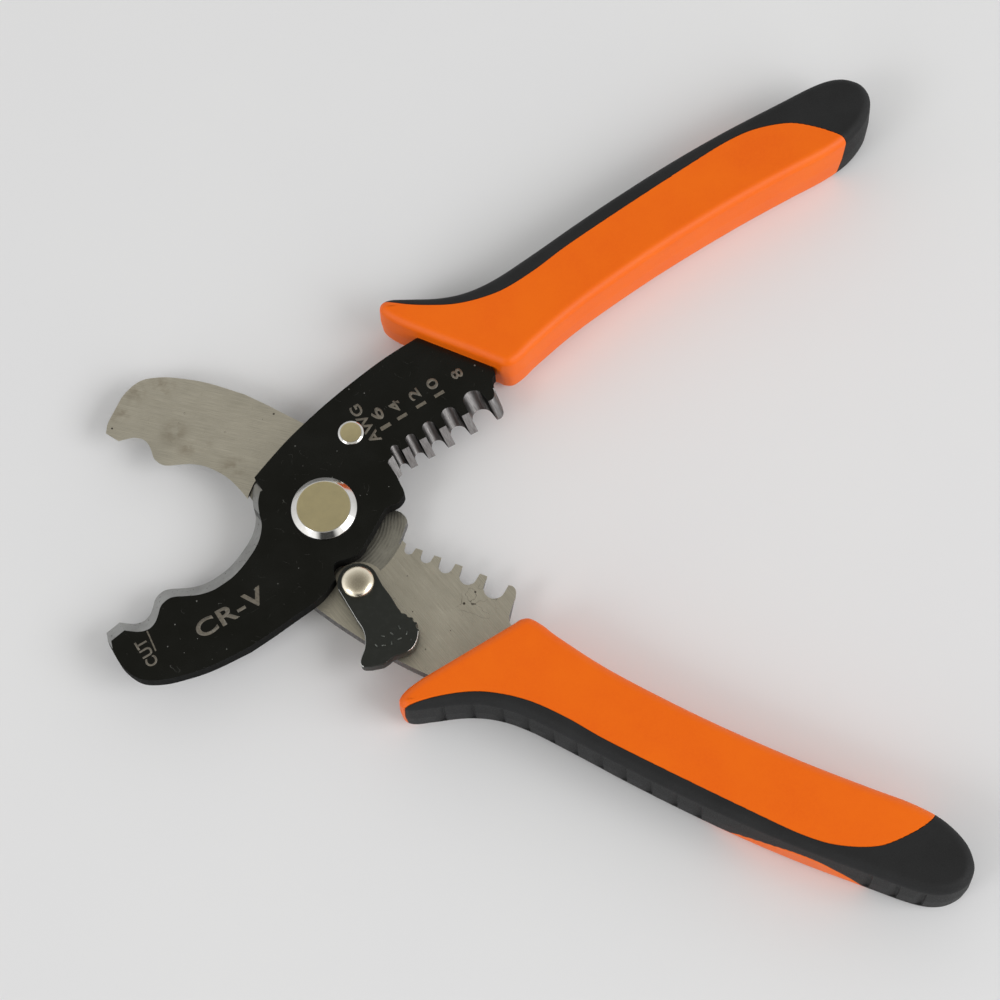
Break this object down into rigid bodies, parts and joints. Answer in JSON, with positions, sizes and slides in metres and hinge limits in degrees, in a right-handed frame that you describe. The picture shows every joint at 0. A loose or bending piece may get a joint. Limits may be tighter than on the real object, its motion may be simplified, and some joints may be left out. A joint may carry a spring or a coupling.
{
  "type": "wire stripper",
  "caption": "Pliers-style wire stripper with curved cable-cutting jaws, a row of graded stripping notches, thumb latch and two-colour moulded grips.",
  "frame": {"origin": "centre of the flat rear face of the pivot nut, on the pivot axis", "axes": "+Z along the pivot towards the marked front, +X midway between the open handles, +Y towards the front lever's handle"},
  "size_m": [0.1504, 0.1608, 0.0129],
  "materials": {
    "black_coated_steel": "gloss black coating",
    "ground_steel": "fine ground grain",
    "nickel_plate": "satin nickel plating",
    "spring_steel": "plain hardened steel",
    "black_oxide_steel": "satin black, worn at the edges",
    "orange_plastic": "satin moulded plastic",
    "charcoal_rubber": "fine-grained soft overmould"
  },
  "bodies": {
    "front_lever": {"front_blade": "black_coated_steel", "pivot_bolt": "nickel_plate", "pivot_washer": "spring_steel", "pivot_nut": "nickel_plate", "return_spring": "spring_steel", "stop_pin": "nickel_plate", "front_grip_core": "orange_plastic", "front_grip_overmould": "charcoal_rubber"},
    "rear_lever": {"rear_blade": "ground_steel", "latch_rivet": "nickel_plate", "latch_washer": "spring_steel", "rear_grip_core": "orange_plastic", "rear_grip_overmould": "charcoal_rubber"},
    "latch": {"latch": "black_oxide_steel"}
  },
  "joints": [
    {"name": "main_pivot", "type": "hinge", "parent": "front_lever", "child": "rear_lever", "pos_m": [0, 0, 0.00475], "axis": [0, 0, 1], "range_deg": [0, 57], "stiffness_Nm_per_rad": 0.2, "springref_deg": -28.65, "deforming": ["return_spring"]},
    {"name": "latch_swing", "type": "hinge", "parent": "rear_lever", "child": "latch", "pos_m": [0.00554, -0.01473, 0.0063], "axis": [0, 0, 1], "range_deg": [-60, 50]}
  ]
}
